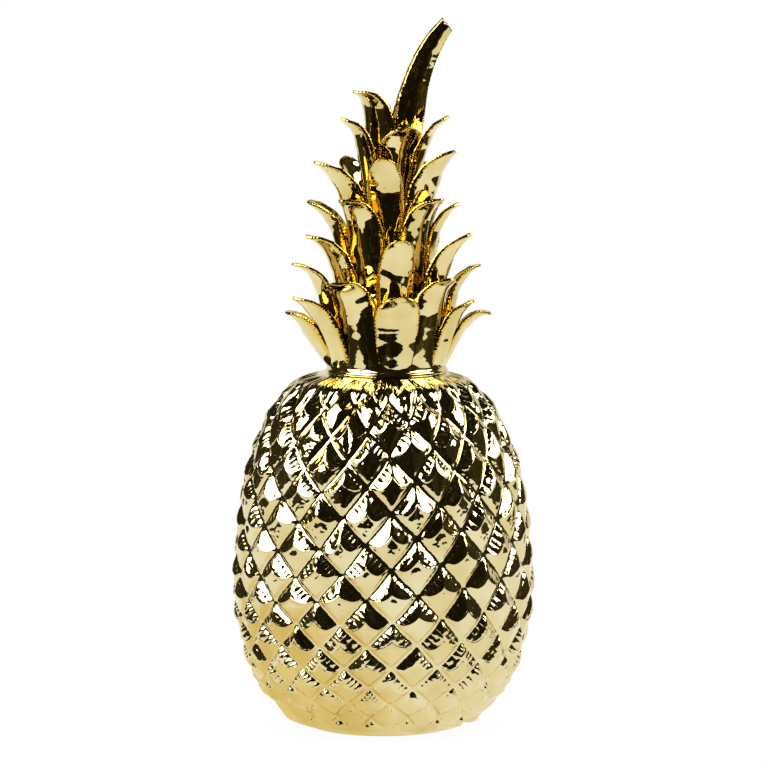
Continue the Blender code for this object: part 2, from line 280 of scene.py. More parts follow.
def hermite(
    t: np.ndarray, start: np.ndarray, end: np.ndarray, start_slope: np.ndarray, end_slope: np.ndarray
) -> np.ndarray:
    """Values on cubic curves between two ends.

    Args:
        t: How far along each curve, from 0 to 1.
        start: Values at the starts.
        end: Values at the ends.
        start_slope: Change per whole curve at the starts.
        end_slope: Change per whole curve at the ends.

    Returns:
        The values.
    """
    value = (1 + 2 * t) * (1 - t) ** 2 * start + t * (1 - t) ** 2 * start_slope
    return value + t * t * (3 - 2 * t) * end + t * t * (t - 1) * end_slope


@dataclass(frozen=True)
class Outline:
    """A smooth curve of radius against height.

    Attributes:
        points_mm: Height and radius pairs, from the foot up.
    """

    points_mm: Tuple[Tuple[float, float], ...]

    def measure(self, height: np.ndarray) -> Tuple[np.ndarray, np.ndarray]:
        """Radius and its change with height.

        Args:
            height: Heights in metres.

        Returns:
            The radii in metres, and the slopes.
        """
        heights, radii = (np.array(column) * MM for column in zip(*self.points_mm))
        slopes = np.gradient(radii, heights)
        height = np.clip(height, heights[0], heights[-1])
        low = np.clip(np.searchsorted(heights, height, side="right") - 1, 0, len(heights) - 2)
        span = heights[low + 1] - heights[low]
        t = (height - heights[low]) / span
        r0, r1, s0, s1 = radii[low], radii[low + 1], slopes[low], slopes[low + 1]
        radius = hermite(t, r0, r1, span * s0, span * s1)
        slope = (6 * t * t - 6 * t) * (r0 - r1) / span
        slope = slope + (1 - 4 * t + 3 * t * t) * s0 + (3 * t * t - 2 * t) * s1
        return radius, slope

    def radius(self, height: float) -> float:
        """Radius in metres at one height."""
        return float(self.measure(np.array([height]))[0][0])


@dataclass
class Shell:
    """Points and faces of one closed surface, put together from rings and strips."""

    points: List[Point] = field(default_factory=list)
    faces: List[Tuple[int, ...]] = field(default_factory=list)

    def add(self, points: Sequence[Point]) -> List[int]:
        """Add points.

        Args:
            points: The points.

        Returns:
            Their numbers.
        """
        first = len(self.points)
        self.points.extend(points)
        return list(range(first, len(self.points)))

    def zip_rings(self, lower: List[int], upper: List[int]) -> None:
        """Join two closed rings that both run by azimuth, whatever their counts.

        Args:
            lower: Point numbers of the ring on the lower side.
            upper: Point numbers of the ring on the upper side.
        """
        a, b = 0, 0
        while a < len(lower) or b < len(upper):
            low, high = lower[a % len(lower)], upper[b % len(upper)]
            next_low, next_high = lower[(a + 1) % len(lower)], upper[(b + 1) % len(upper)]
            lower_first = (a + 0.5) / len(lower) <= (b + 0.5) / len(upper)
            if b >= len(upper) or (a < len(lower) and lower_first):
                self.faces.append((low, next_low, high))
                a += 1
            else:
                self.faces.append((low, next_high, high))
                b += 1

    def turn(self, profile: Sequence[Tuple[float, float]], sides: int) -> List[List[int]]:
        """Add a level ring for each radius and height, and return the rings' point numbers."""
        return [self.add(ring(radius, height, sides)) for radius, height in profile]

    def join(self, rings: List[List[int]]) -> None:
        """Join each ring to the next, where the rings run up the outside or down the inside."""
        for lower, upper in zip(rings, rings[1:]):
            self.zip_rings(lower, upper)

    def close(self, edge: List[int], centre: Point, upwards: bool) -> None:
        """Close a ring with a fan round a centre point.

        Args:
            edge: Point numbers of the ring.
            centre: The point in the middle.
            upwards: Whether the fan faces up.
        """
        (hub,) = self.add([centre])
        for k, point in enumerate(edge):
            following = edge[(k + 1) % len(edge)]
            self.faces.append((point, following, hub) if upwards else (following, point, hub))


def make_mesh_object(
    name: str, points: Sequence[Point], faces: Sequence[Tuple[int, ...]]
) -> bpy.types.Object:
    """Link a smooth mesh object.

    Args:
        name: Its name.
        points: Its points in metres.
        faces: Point numbers of each face.

    Returns:
        The object.
    """
    mesh = bpy.data.meshes.new(name)
    mesh.from_pydata([tuple(point) for point in points], [], faces)
    mesh.update()
    mesh.shade_smooth()
    made = bpy.data.objects.new(name, mesh)
    bpy.context.scene.collection.objects.link(made)
    return made


def add_numbers(mesh: bpy.types.Mesh, name: str, values: np.ndarray) -> None:
    """Store a number or a vector for each point of a mesh.

    Args:
        mesh: The mesh.
        name: The attribute's name.
        values: One number or one vector for each point.
    """
    flat = np.asarray(values, dtype=np.float32)
    if flat.ndim == 1:
        mesh.attributes.new(name, "FLOAT", "POINT").data.foreach_set("value", flat)
    else:
        mesh.attributes.new(name, "FLOAT_VECTOR", "POINT").data.foreach_set("vector", flat.ravel())


@dataclass
class ShapeTree:
    """A Geometry Nodes tree that moves points along a stored direction.

    Attributes:
        name: Name of the tree.
        inputs: Named inputs with their default values.
    """

    name: str
    inputs: Dict[str, float]
    tree: bpy.types.NodeTree = field(init=False)
    start: bpy.types.Node = field(init=False)

    def __post_init__(self) -> None:
        """Make the tree with its named inputs."""
        self.tree = bpy.data.node_groups.new(self.name, "GeometryNodeTree")
        face = self.tree.interface
        face.new_socket("Geometry", in_out="INPUT", socket_type="NodeSocketGeometry")
        face.new_socket("Finish", in_out="INPUT", socket_type="NodeSocketMaterial")
        for name, value in self.inputs.items():
            face.new_socket(name, in_out="INPUT", socket_type="NodeSocketFloat").default_value = value
        face.new_socket("Geometry", in_out="OUTPUT", socket_type="NodeSocketGeometry")
        self.start = self.tree.nodes.new("NodeGroupInput")

    def given(self, name: str) -> Formula:
        """The named input as a formula."""
        return Formula(self.tree, self.start.outputs[name])

    def stored(self, name: str) -> Formula:
        """A number stored on each point, as a formula."""
        return Formula(self.tree, self.stored_socket(name, "FLOAT"))

    def stored_socket(self, name: str, kind: str) -> bpy.types.NodeSocket:
        """The socket of an attribute that the points carry.

        Args:
            name: The attribute's name.
            kind: The attribute's data type.

        Returns:
            The socket with its values.
        """
        node = self.tree.nodes.new("GeometryNodeInputNamedAttribute")
        node.data_type = kind
        node.inputs["Name"].default_value = name
        return node.outputs["Attribute"]

    def place(self) -> bpy.types.NodeSocket:
        """The socket of each point's position."""
        return self.tree.nodes.new("GeometryNodeInputPosition").outputs[0]

    def after(self, kind: str, source: bpy.types.NodeSocket) -> bpy.types.Node:
        """Add a node fed by a socket.

        Args:
            kind: The node's type.
            source: The socket that feeds its first input.

        Returns:
            The node.
        """
        node = self.tree.nodes.new(kind)
        self.tree.links.new(source, node.inputs[0])
        return node

    def move(self, moves: Sequence[Tuple[str, Formula]]) -> None:
        """End the tree: move each point, realize the result and set its material.

        Args:
            moves: The name of a stored direction and the distance along it, for each move.
        """
        links = self.tree.links
        total = None
        for direction, distance in moves:
            scaled = self.after("ShaderNodeVectorMath", self.stored_socket(direction, "FLOAT_VECTOR"))
            scaled.operation = "SCALE"
            links.new(distance.socket, scaled.inputs["Scale"])
            if total is None:
                total = scaled.outputs[0]
                continue
            summed = self.after("ShaderNodeVectorMath", total)
            links.new(scaled.outputs[0], summed.inputs[1])
            total = summed.outputs[0]
        moved = self.after("GeometryNodeSetPosition", self.start.outputs["Geometry"])
        links.new(total, moved.inputs["Offset"])
        realized = self.after("GeometryNodeRealizeInstances", moved.outputs[0])
        finished = self.after("GeometryNodeSetMaterial", realized.outputs[0])
        links.new(self.start.outputs["Finish"], finished.inputs["Material"])
        self.after("NodeGroupOutput", finished.outputs[0])

    def shape(self, piece: bpy.types.Object, finish: bpy.types.Material) -> None:
        """Run the tree on a piece and keep the result as its plain mesh.

        Args:
            piece: The object to shape.
            finish: The material that it gets.
        """
        modifier = piece.modifiers.new(self.name, "NODES")
        modifier.node_group = self.tree
        for item in self.tree.interface.items_tree:
            if item.in_out == "INPUT" and item.name == "Finish":
                modifier[item.identifier] = finish
            elif item.in_out == "INPUT" and item.name in self.inputs:
                modifier[item.identifier] = self.inputs[item.name]
        bpy.context.view_layer.update()
        depsgraph = bpy.context.evaluated_depsgraph_get()
        mesh = bpy.data.meshes.new_from_object(piece.evaluated_get(depsgraph))
        piece.modifiers.clear()
        rough = piece.data
        piece.data = mesh
        mesh.name = piece.name
        bpy.data.meshes.remove(rough)


@dataclass(frozen=True)
class MirrorGold:
    """Mirror-gold lustre fired on a porcelain glaze.

    Attributes:
        deep: Colour where the lustre lies thick.
        pale: Colour where it lies thin.
        tone_scale: Patches of deep and pale colour per metre.
        gloss: Lowest roughness.
        smudge: How much rougher the cloudy places are.
        smudge_scale: Cloudy places per metre.
        ripple: Depth of the glaze's slow waves, in metres.
        ripple_scale: Slow waves per metre.
        orange_peel: Depth of its fine unevenness, in metres.
        peel_scale: Fine bumps per metre.
        harshness: How strong the finer waves are beside the slow ones.
    """

    deep: Colour = (0.72, 0.595, 0.27, 1.0)
    pale: Colour = (0.81, 0.725, 0.43, 1.0)
    tone_scale: float = 32.0
    gloss: float = 0.025
    smudge: float = 0.05
    smudge_scale: float = 70.0
    ripple: float = 0.55 * MM
    ripple_scale: float = 110.0
    orange_peel: float = 0.008 * MM
    peel_scale: float = 900.0
    harshness: float = 0.75

    def start(self, name: str) -> Tuple[bpy.types.Material, bpy.types.NodeSocket]:
        """Make the material's colour and roughness.

        Args:
            name: The material's name.

        Returns:
            The material, and the socket of its object coordinates.
        """
        material = bpy.data.materials.new(name)
        material.use_nodes = True
        tree = material.node_tree
        shader = tree.nodes["Principled BSDF"]
        shader.inputs["Metallic"].default_value = 1.0
        places = tree.nodes.new("ShaderNodeTexCoord").outputs["Object"]
        tone = cloud(tree, places, self.tone_scale).ramp(-0.2, 0.2)
        tree.links.new(blend_colours(tree, self.deep, self.pale, tone), shader.inputs["Base Color"])
        haze = cloud(tree, places, self.smudge_scale, 4.0).ramp(-0.05, 0.3) * self.smudge + self.gloss
        tree.links.new(haze.socket, shader.inputs["Roughness"])
        return material, places

    def waves(self, tree: bpy.types.NodeTree, places: bpy.types.NodeSocket) -> Formula:
        """Relief of the glaze's own waves and fine unevenness.

        Args:
            tree: The material's node tree.
            places: The socket of its object coordinates.

        Returns:
            The height in metres.
        """
        slow = cloud(tree, places, self.ripple_scale, 2.0, self.harshness) * self.ripple
        fine = cloud(tree, places, self.peel_scale) * self.orange_peel
        return slow + fine

    def finish(self, material: bpy.types.Material, height: Formula) -> None:
        """Lay a height on the material as fine relief.

        Args:
            material: The material.
            height: The relief in metres.
        """
        tree = material.node_tree
        bump = tree.nodes.new("ShaderNodeBump")
        bump.inputs["Distance"].default_value = 1.0
        bump.inputs["Strength"].default_value = 1.0
        tree.links.new(height.socket, bump.inputs["Height"])
        tree.links.new(bump.outputs["Normal"], tree.nodes["Principled BSDF"].inputs["Normal"])


@dataclass
class EyeForm:
    """The relief of one eye, from formulas of its place between its four grooves.

    An eye's u runs along its upper left side and v along its lower left side, both from 0 at its
    left corner to 1. Depths and heights are in metres, places and widths in shares of an eye, teeth
    and flutes are counts, and fullness and roundness are powers. The plain numbers given to chance
    only tell one random number from another.
    """

    groove_depth: float = 4.3 * MM
    crossing_depth: float = 4.8 * MM
    floor_share: float = 0.10
    peak_rise: float = 0.09
    wall_share: float = 0.24
    wall_top: float = 0.20
    upper_fullness: float = 2.1
    lower_fullness: float = 1.35
    crossing_width: float = 0.13
    dip: float = 0.20
    ridge_height: float = 0.34 * MM
    ridge_width: float = 0.09
    bead_share: float = 0.9
    tooth_depth: float = 0.66 * MM
    teeth: float = 5.5
    lobe_roundness: float = 0.6
    lobe_level: float = 0.70
    lip_height: float = 0.14 * MM
    lip_place: float = 0.20
    lip_width: float = 0.07
    flutes: float = 3.0
    flute_depth: float = 0.14 * MM
    dimple_size: float = 0.07
    dimple_depth: float = 0.7 * MM

    def sides(self, u: Formula, v: Formula, eye: Formula) -> Dict[str, Formula]:
        """Distances from the grooves to the eye's peak, bent so the middle ridge hangs in two curves.

        Args:
            u: Place along the upper left side.
            v: Place along the lower left side.
            eye: The eye's number.

        Returns:
            The shares up the upper and lower faces, the edge distance and the place across.
        """
        edge = u.least(v).least(u * -1.0 + 1.0).least(v * -1.0 + 1.0) * 2.0
        across = u + v - 1.0
        swing = across.size()
        hang = swing * (1.0 - swing) * (2.0 * self.dip)
        hang = hang * edge.ramp(0.0, 0.45) * (eye.chance(3.1) * 0.8 + 0.6)
        lean = (eye.chance(7.7) - 0.5) * 0.07
        rise = (eye.chance(11.3) - 0.5) * 0.06 + self.peak_rise
        peak_u = rise + lean + 0.5
        peak_v = lean - rise + 0.5
        bent_u = u + hang
        bent_v = v - hang
        upper = (bent_v / peak_v).least((1.0 - bent_u) / (1.0 - peak_u), 0.03)
        lower = (bent_u / peak_u).least((1.0 - bent_v) / (1.0 - peak_v), 0.45)
        return {"upper": upper, "lower": lower, "edge": edge, "across": across}

    def pillow(self, u: Formula, v: Formula, eye: Formula) -> Formula:
        """The eye's main form, a pillow between four grooves.

        Args:
            u: Place along the upper left side.
            v: Place along the lower left side.
            eye: The eye's number.

        Returns:
            Its height above the peak, which is zero or less.
        """
        parts = self.sides(u, v, eye)
        upper = parts["upper"].ramp(self.floor_share, 1.0, Fade.STRAIGHT)
        lower = parts["lower"].ramp(self.floor_share, 1.0, Fade.STRAIGHT)
        high = 1.0 - (1.0 - upper).power(self.upper_fullness)
        low = 1.0 - (1.0 - lower).power(self.lower_fullness)
        face = high.least(low, 0.02)
        wall = parts["edge"].ramp(self.floor_share - 0.02, self.wall_top)
        rise = wall * self.wall_share + face * (1.0 - self.wall_share)
        corner_u = u.least(1.0 - u)
        corner_v = v.least(1.0 - v)
        reach = (corner_u * corner_u + corner_v * corner_v).power(0.5)
        crossing = reach.bell(self.crossing_width) * (self.crossing_depth - self.groove_depth)
        return (rise - 1.0) * self.groove_depth - crossing

    def teeth_on_side(self, along: Formula, inward: Formula, eye: Formula, salt: float) -> Formula:
        """Height of the tooled notches on one upper side, in metres.

        Args:
            along: Place along the side.
            inward: Distance in from the side.
            eye: The eye's number.
            salt: Tells the two sides apart.

        Returns:
            The height, from notch bottoms below zero to lobes above it.
        """
        phase = eye.chance(salt) * 0.8
        uneven = (along * 9.0 + eye.chance(salt + 1.7) * 6.0).math("SINE") * 0.7
        wave = (along * (self.teeth * pi) + phase + uneven).math("SINE").size()
        lobes = wave.power(self.lobe_roundness) - self.lobe_level
        reach = eye.chance(salt + 2.9) * 0.22 + 0.24
        mask = inward.ramp(0.04, 0.12) * (1.0 - (inward / reach).ramp(0.2, 1.0))
        ends = along.ramp(0.02, 0.14) * (1.0 - along.ramp(0.88, 1.0))
        strength = (eye.chance(salt + 5.3) * 1.6 - 0.3).math("MAXIMUM", 0.0)
        return lobes * mask * ends * strength * self.tooth_depth

    def notches(self, u: Formula, v: Formula, eye: Formula) -> Formula:
        """Height of the notches along the two upper sides, in metres."""
        return self.teeth_on_side(u, v, eye, 17.0) + self.teeth_on_side(v, 1.0 - u, eye, 29.0)

    def beads(self, u: Formula, v: Formula, eye: Formula) -> Formula:
        """Height of the weaker notches along the two lower sides, in metres."""
        pair = self.teeth_on_side(v, u, eye, 71.0) + self.teeth_on_side(u, 1.0 - v, eye, 83.0)
        return pair * self.bead_share

    def lines(self, u: Formula, v: Formula, eye: Formula) -> Formula:
        """The middle ridge, and the lips and flutes below it.

        Args:
            u: Place along the upper left side.
            v: Place along the lower left side.
            eye: The eye's number.

        Returns:
            The height.
        """
        parts = self.sides(u, v, eye)
        line = (parts["upper"] - parts["lower"]).bell(self.ridge_width)
        span = 1.0 - parts["across"].size().ramp(0.62, 0.9)
        ridge = line * span * parts["edge"].ramp(0.12, 0.35) * self.ridge_height
        below = (parts["upper"] - parts["lower"]).ramp(0.1, 0.5)
        lip = (parts["edge"] - self.lip_place).bell(self.lip_width) * below * self.lip_height
        sway = eye.chance(41.0) * 6.0
        wave = (parts["across"] * (self.flutes * pi) + sway).math("SINE")
        return ridge + lip + wave * below * parts["edge"].ramp(0.1, 0.4) * self.flute_depth

    def dimple(self, u: Formula, v: Formula, eye: Formula) -> Formula:
        """The short curved mark pressed into most eyes.

        Args:
            u: Place along the upper left side.
            v: Place along the lower left side.
            eye: The eye's number.

        Returns:
            The height, zero or less.
        """
        beside = (u + v - 1.0 - (eye.chance(51.0) * 0.4 - 0.25)) * 0.4
        below = u - v - 0.02 + (eye.chance(57.0) - 0.5) * 0.2 + beside.size() * 0.5
        reach = (beside * beside + below * below).power(0.5)
        strength = (eye.chance(61.0) * 1.4 - 0.4).power(0.5)
        return reach.bell(self.dimple_size) * strength * -self.dimple_depth


@dataclass
class FruitJar:
    """The fruit: a hollow jar with a lattice of eyes, an open neck and a recessed foot."""

    outline: Outline = Outline(
        (
            *((0.0, 48.0), (4.0, 60.5), (12.0, 69.6), (24.0, 81.2), (40.0, 89.9)),
            *((60.0, 95.7), (85.0, 100.2), (110.0, 99.8), (140.0, 97.1), (170.0, 92.2)),
            *((195.0, 83.3), (212.0, 75.0), (224.0, 64.8), (232.0, 53.5), (235.2, 43.5)),
        )
    )
    half_steps_round: int = 36
    half_rows_drop: int = 4
    first_groove_azimuth: float = 3.4
    middle_row_height: float = 116.9 * MM
    row_pitch: float = 18.16 * MM
    row_pitch_growth: float = 0.226 * MM
    row_pitch_fall: float = -0.034 * MM
    row_tilt: float = -2.1 * MM
    row_tilt_growth: float = 1.7 * MM
    tilt_centre_row: float = -0.95
    tilt_reach_rows: float = 7.35
    bottom_row: float = -8.0
    top_row: float = 6.35
    cells_per_side: int = 18
    fine_share: float = 0.7
    soft_rows: float = 0.45
    neck_top: float = 235.2 * MM
    neck_radius: float = 42.5 * MM
    mouth_radius: float = 31.0 * MM
    neck_depth: float = 7.0 * MM
    edge_round: float = 0.5 * MM
    wall: float = 8.1 * MM
    foot_radius: float = 48.0 * MM
    foot_ring_width: float = 8.0 * MM
    foot_recess: float = 2.0 * MM
    floor_thickness: float = 6.0 * MM
    inner_heights_mm: Tuple[float, ...] = (224, 212, 198, 180, 155, 125, 95, 68, 45, 28, 15, 9)
    sides: int = 120
    eye: EyeForm = field(default_factory=EyeForm)
    eye_stride: float = 37.0
    seed: float = 4.0
    wobble: float = 0.7 * MM
    unevenness: float = 0.35 * MM
    unevenness_scale: float = 45.0
    uv_margin: float = 0.0005
    cells: np.ndarray = field(init=False, repr=False)

    def lattice(self, across: np.ndarray, up: np.ndarray) -> Tuple[np.ndarray, np.ndarray, np.ndarray]:
        """Find places on the eye lattice.

        Args:
            across: Half steps round from the first groove.
            up: Half rows up from the middle one, at the first groove.

        Returns:
            Azimuths in degrees, heights in metres, and rows.
        """
        azimuth = self.first_groove_azimuth + 360 / self.half_steps_round * across
        row = up + self.half_rows_drop / self.half_steps_round * across
        height = self.middle_row_height + self.row_pitch * row
        height = height + self.row_pitch_growth * row**2 + self.row_pitch_fall * row**3
        fade = 1 - ((row - self.tilt_centre_row) / self.tilt_reach_rows) ** 4
        tilt = (self.row_tilt + self.row_tilt_growth * row) * fade
        return azimuth, height + tilt * np.sin(np.radians(azimuth)), row

    def wander(self, azimuth: np.ndarray, height: np.ndarray) -> Tuple[np.ndarray, np.ndarray]:
        """Small hand-made shifts of the lattice.

        Args:
            azimuth: Azimuths in degrees.
            height: Heights in metres.

        Returns:
            The shifts round, in degrees, and up, in metres.
        """
        a = np.radians(azimuth)
        h = height / (11 * MM)
        side = np.sin(5 * a + 0.9 * h) + 0.8 * np.sin(11 * a - 1.7 * h + 2.0)
        lift = np.sin(7 * a - 1.1 * h + 1.0) + 0.8 * np.sin(13 * a + 1.5 * h + 4.0)
        return np.degrees(side * 0.5 * self.wobble / 0.1), lift * 0.5 * self.wobble

    def past_seam(self, p: np.ndarray, q: np.ndarray, cell: int) -> Tuple[np.ndarray, np.ndarray]:
        """Carry places left of the seam a full turn on: 16 spirals one way and 20 the other.

        Args:
            p: Places across the spirals that rise to the left.
            q: Places across those that rise to the right.
            cell: Places in one eye.

        Returns:
            Both, with those that lie left of the seam carried on.
        """
        left = (p // cell + q // cell) < 0
        steps, drop = self.half_steps_round, self.half_rows_drop
        return p + (steps - drop) // 2 * cell * left, q + (steps + drop) // 2 * cell * left

    def skin(self) -> Tuple[Shell, Dict[str, np.ndarray], List[int], List[int]]:
        """The fruit's outer surface before its relief.

        Returns:
            The shell, its points' attributes, and the point numbers of its lower and upper edges.
        """
        n = self.cells_per_side
        columns = self.half_steps_round * n
        drop = self.half_rows_drop * n
        low, high, first = [], [], []
        count = 0
        for k in range(columns):
            slide = drop * k / columns
            lowest = int(np.ceil(self.bottom_row * n - slide))
            highest = int(np.floor(self.top_row * n - slide))
            lowest += (lowest + k) % 2
            highest -= (highest + k) % 2
            low.append(lowest)
            high.append(highest)
            first.append(count)
            count += (highest - lowest) // 2 + 1
        for extra in range(2):
            low.append(low[extra] - drop)
            high.append(high[extra] - drop)
            first.append(first[extra])
        sums = np.concatenate([np.full((high[k] - low[k]) // 2 + 1, k) for k in range(columns)])
        rises = np.concatenate([np.arange(low[k], high[k] + 1, 2) for k in range(columns)])
        faces = []
        eyes = []
        for k in range(columns):
            bottom = max(low[k], low[k + 1] + 1, low[k + 2])
            top = min(high[k], high[k + 1] - 1, high[k + 2])
            bottom += (bottom + k) % 2
            for rise in range(bottom, top + 1, 2):
                left = first[k] + (rise - low[k]) // 2
                upper = first[k + 1] + (rise + 1 - low[k + 1]) // 2
                right = first[k + 2] + (rise - low[k + 2]) // 2
                faces.append((left, upper - 1, right, upper))
                eyes.append((k, rise))
        azimuth, height, row = self.lattice(sums / n, rises / n)
        shift, lift = self.wander(azimuth, height)
        inside = np.clip(np.minimum(row - self.bottom_row, self.top_row - row) / 1.5, 0, 1)
        azimuth = azimuth + shift * inside
        height = height + lift * inside
        radius, slope = self.outline.measure(height)
        angle = np.radians(azimuth)
        normal = np.stack([np.sin(angle), -np.cos(angle), -slope], axis=1)
        normal /= np.linalg.norm(normal, axis=1)[:, None]
        points = np.stack([radius * np.sin(angle), -radius * np.cos(angle), height], axis=1)
        p2 = sums + rises
        q2 = sums - rises
        u = (p2 // 2 % n) / n
        v = (q2 // 2 % n) / n
        eye_p, eye_q = self.past_seam(p2 // (2 * n), q2 // (2 * n), 1)
        number = eye_p * self.eye_stride + eye_q
        soft = np.clip((row - self.bottom_row) / self.soft_rows, 0, 1)
        soft = soft * np.clip((self.top_row - row) / self.soft_rows, 0, 1)
        data = {"eye_u": u, "eye_v": v, "eye_number": number, "relief": soft, "outward": normal}
        shell = Shell([tuple(point) for point in points], faces)
        lower = [first[k] for k in range(columns)]
        upper = [first[k] + (high[k] - low[k]) // 2 for k in range(columns)]
        self.cells = np.array(eyes)
        return shell, data, self.from_azimuth_zero(lower, points), self.from_azimuth_zero(upper, points)

    def from_azimuth_zero(self, edge: List[int], points: np.ndarray) -> List[int]:
        """Start a ring at its first point past azimuth 0.

        Args:
            edge: Point numbers of the ring.
            points: All points.

        Returns:
            The ring's point numbers in the new order.
        """
        azimuths = [np.degrees(np.arctan2(points[k][0], -points[k][1])) % 360 for k in edge]
        start = int(np.argmin(azimuths))
        return edge[start:] + edge[:start]

    def close_up(self, shell: Shell, lower: List[int], upper: List[int]) -> None:
        """Add the foot, the neck, the inner wall and the floor.

        Args:
            shell: The shell to close.
            lower: The lower edge of the outer surface.
            upper: The upper edge of the outer surface.
        """
        r = self.edge_round
        inner_foot = self.foot_radius - self.foot_ring_width
        foot = [(inner_foot, self.foot_recess), (inner_foot, r), (inner_foot + r, 0.0)]
        foot += [(self.foot_radius - r, 0.0), (self.foot_radius, r)]
        rings = shell.turn(foot, self.sides)
        shell.close(rings[0], (0, 0, self.foot_recess), upwards=False)
        shell.join(rings + [lower])
        top = self.neck_top
        neck = [(self.neck_radius + r, top - r), (self.neck_radius, top), (self.mouth_radius + r, top)]
        neck += [(self.mouth_radius, top - r), (self.mouth_radius, top - self.neck_depth)]
        for height in (height_mm * MM for height_mm in self.inner_heights_mm):
            neck.append((self.outline.radius(height) - self.wall, height))
        floor_height = self.foot_recess + self.floor_thickness
        neck.append((self.foot_radius, floor_height))
        rings = [upper] + shell.turn(neck, self.sides)
        shell.join(rings)
        shell.close(rings[-1], (0, 0, floor_height), upwards=True)

    def relief_tree(self) -> ShapeTree:
        """Write the tree that presses the eyes' relief into the skin.

        Returns:
            The tree.
        """
        inputs = {"Relief": 1.0, "Tooling": 1.0, "Unevenness": self.unevenness, "Seed": self.seed}
        form = ShapeTree("eye_relief", inputs)
        u = form.stored("eye_u")
        v = form.stored("eye_v")
        eye = form.stored("eye_number") + form.given("Seed")
        soft = form.stored("relief")
        depth = self.eye.pillow(u, v, eye) * form.given("Relief")
        tooling = self.eye.notches(u, v, eye) + self.eye.beads(u, v, eye) + self.eye.lines(u, v, eye)
        tooling = tooling + self.eye.dimple(u, v, eye)
        tooling = tooling * form.given("Tooling")
        uneven = cloud(form.tree, form.place(), self.unevenness_scale, 1.0) * form.given("Unevenness")
        form.move([("outward", (depth + tooling + uneven) * soft)])
        return form

    def finish(self, gold: MirrorGold) -> bpy.types.Material:
        """Make the jar's gold, with the tooling of each eye laid on again finer than its mesh.

        Args:
            gold: The lustre.

        Returns:
            The material.
        """
        material, places = gold.start("fruit_gold")
        tree = material.node_tree
        node = tree.nodes.new("ShaderNodeUVMap")
        node.uv_map = "eye_place"
        parted = tree.nodes.new("ShaderNodeSeparateXYZ")
        tree.links.new(node.outputs["UV"], parted.inputs[0])
        p = Formula(tree, parted.outputs["X"])
        q = Formula(tree, parted.outputs["Y"])
        u = p.math("FRACT")
        v = q.math("FRACT")
        number = p.math("FLOOR") * self.eye_stride + q.math("FLOOR") + self.seed
        on_skin = p.ramp(-1.5, -1.0)
        fine = (self.eye.notches(u, v, number) + self.eye.lines(u, v, number)) * self.fine_share
        gold.finish(material, fine * on_skin + gold.waves(tree, places))
        return material

    def build(self, gold: MirrorGold) -> bpy.types.Object:
        """Build and dress the jar.

        Args:
            gold: The lustre.

        Returns:
            The finished piece.
        """
        shell, data, lower, upper = self.skin()
        skin_points = len(shell.points)
        skin_faces = len(shell.faces)
        self.close_up(shell, lower, upper)
        piece = make_mesh_object("fruit_jar_gold", shell.points, shell.faces)
        spare = len(shell.points) - skin_points
        for name, values in data.items():
            rest = np.zeros((spare, *values.shape[1:]))
            add_numbers(piece.data, name, np.concatenate([values, rest]))
        self.lay_places(piece.data, skin_faces)
        self.relief_tree().shape(piece, self.finish(gold))
        return piece

    def lay_places(self, mesh: bpy.types.Mesh, skin_faces: int) -> None:
        """Give each face corner of the skin its place on the lattice, whole numbers at the crossings.

        Args:
            mesh: The jar's mesh.
            skin_faces: How many of its faces are skin, each with four corners.
        """
        n = self.cells_per_side
        sums, rises = self.cells.T
        p, q = self.past_seam((sums + rises) // 2, (sums - rises) // 2, n)
        corners = np.stack([p, q, p, q + 1, p + 1, q + 1, p + 1, q], axis=1).reshape(-1, 2) / n
        eyes = np.stack([p, q], axis=1).repeat(4, axis=0) // n
        corners = np.clip(corners, eyes + self.uv_margin, eyes + 1 - self.uv_margin)
        values = np.full((len(mesh.loops), 2), OFF_SKIN)
        values[: 4 * skin_faces] = corners
        layer = mesh.uv_layers.new(name="eye_place")
        layer.data.foreach_set("uv", values.astype(np.float32).ravel())


@dataclass(frozen=True)
class Leaf:
    """One leaf: where its root and tip are, how wide it is and how steeply it starts and ends."""

    root_azimuth: float
    root_height: float
    tip_azimuth: float
    tip_reach: float
    tip_height: float
    width: float
    root_pitch: float
    tip_pitch: float


@dataclass(frozen=True)
class LeafRow:
    """A row of like leaves round the back."""

    root_height: float
    tip_height: float
    reach: float
    width: float
    azimuths: Tuple[float, ...]


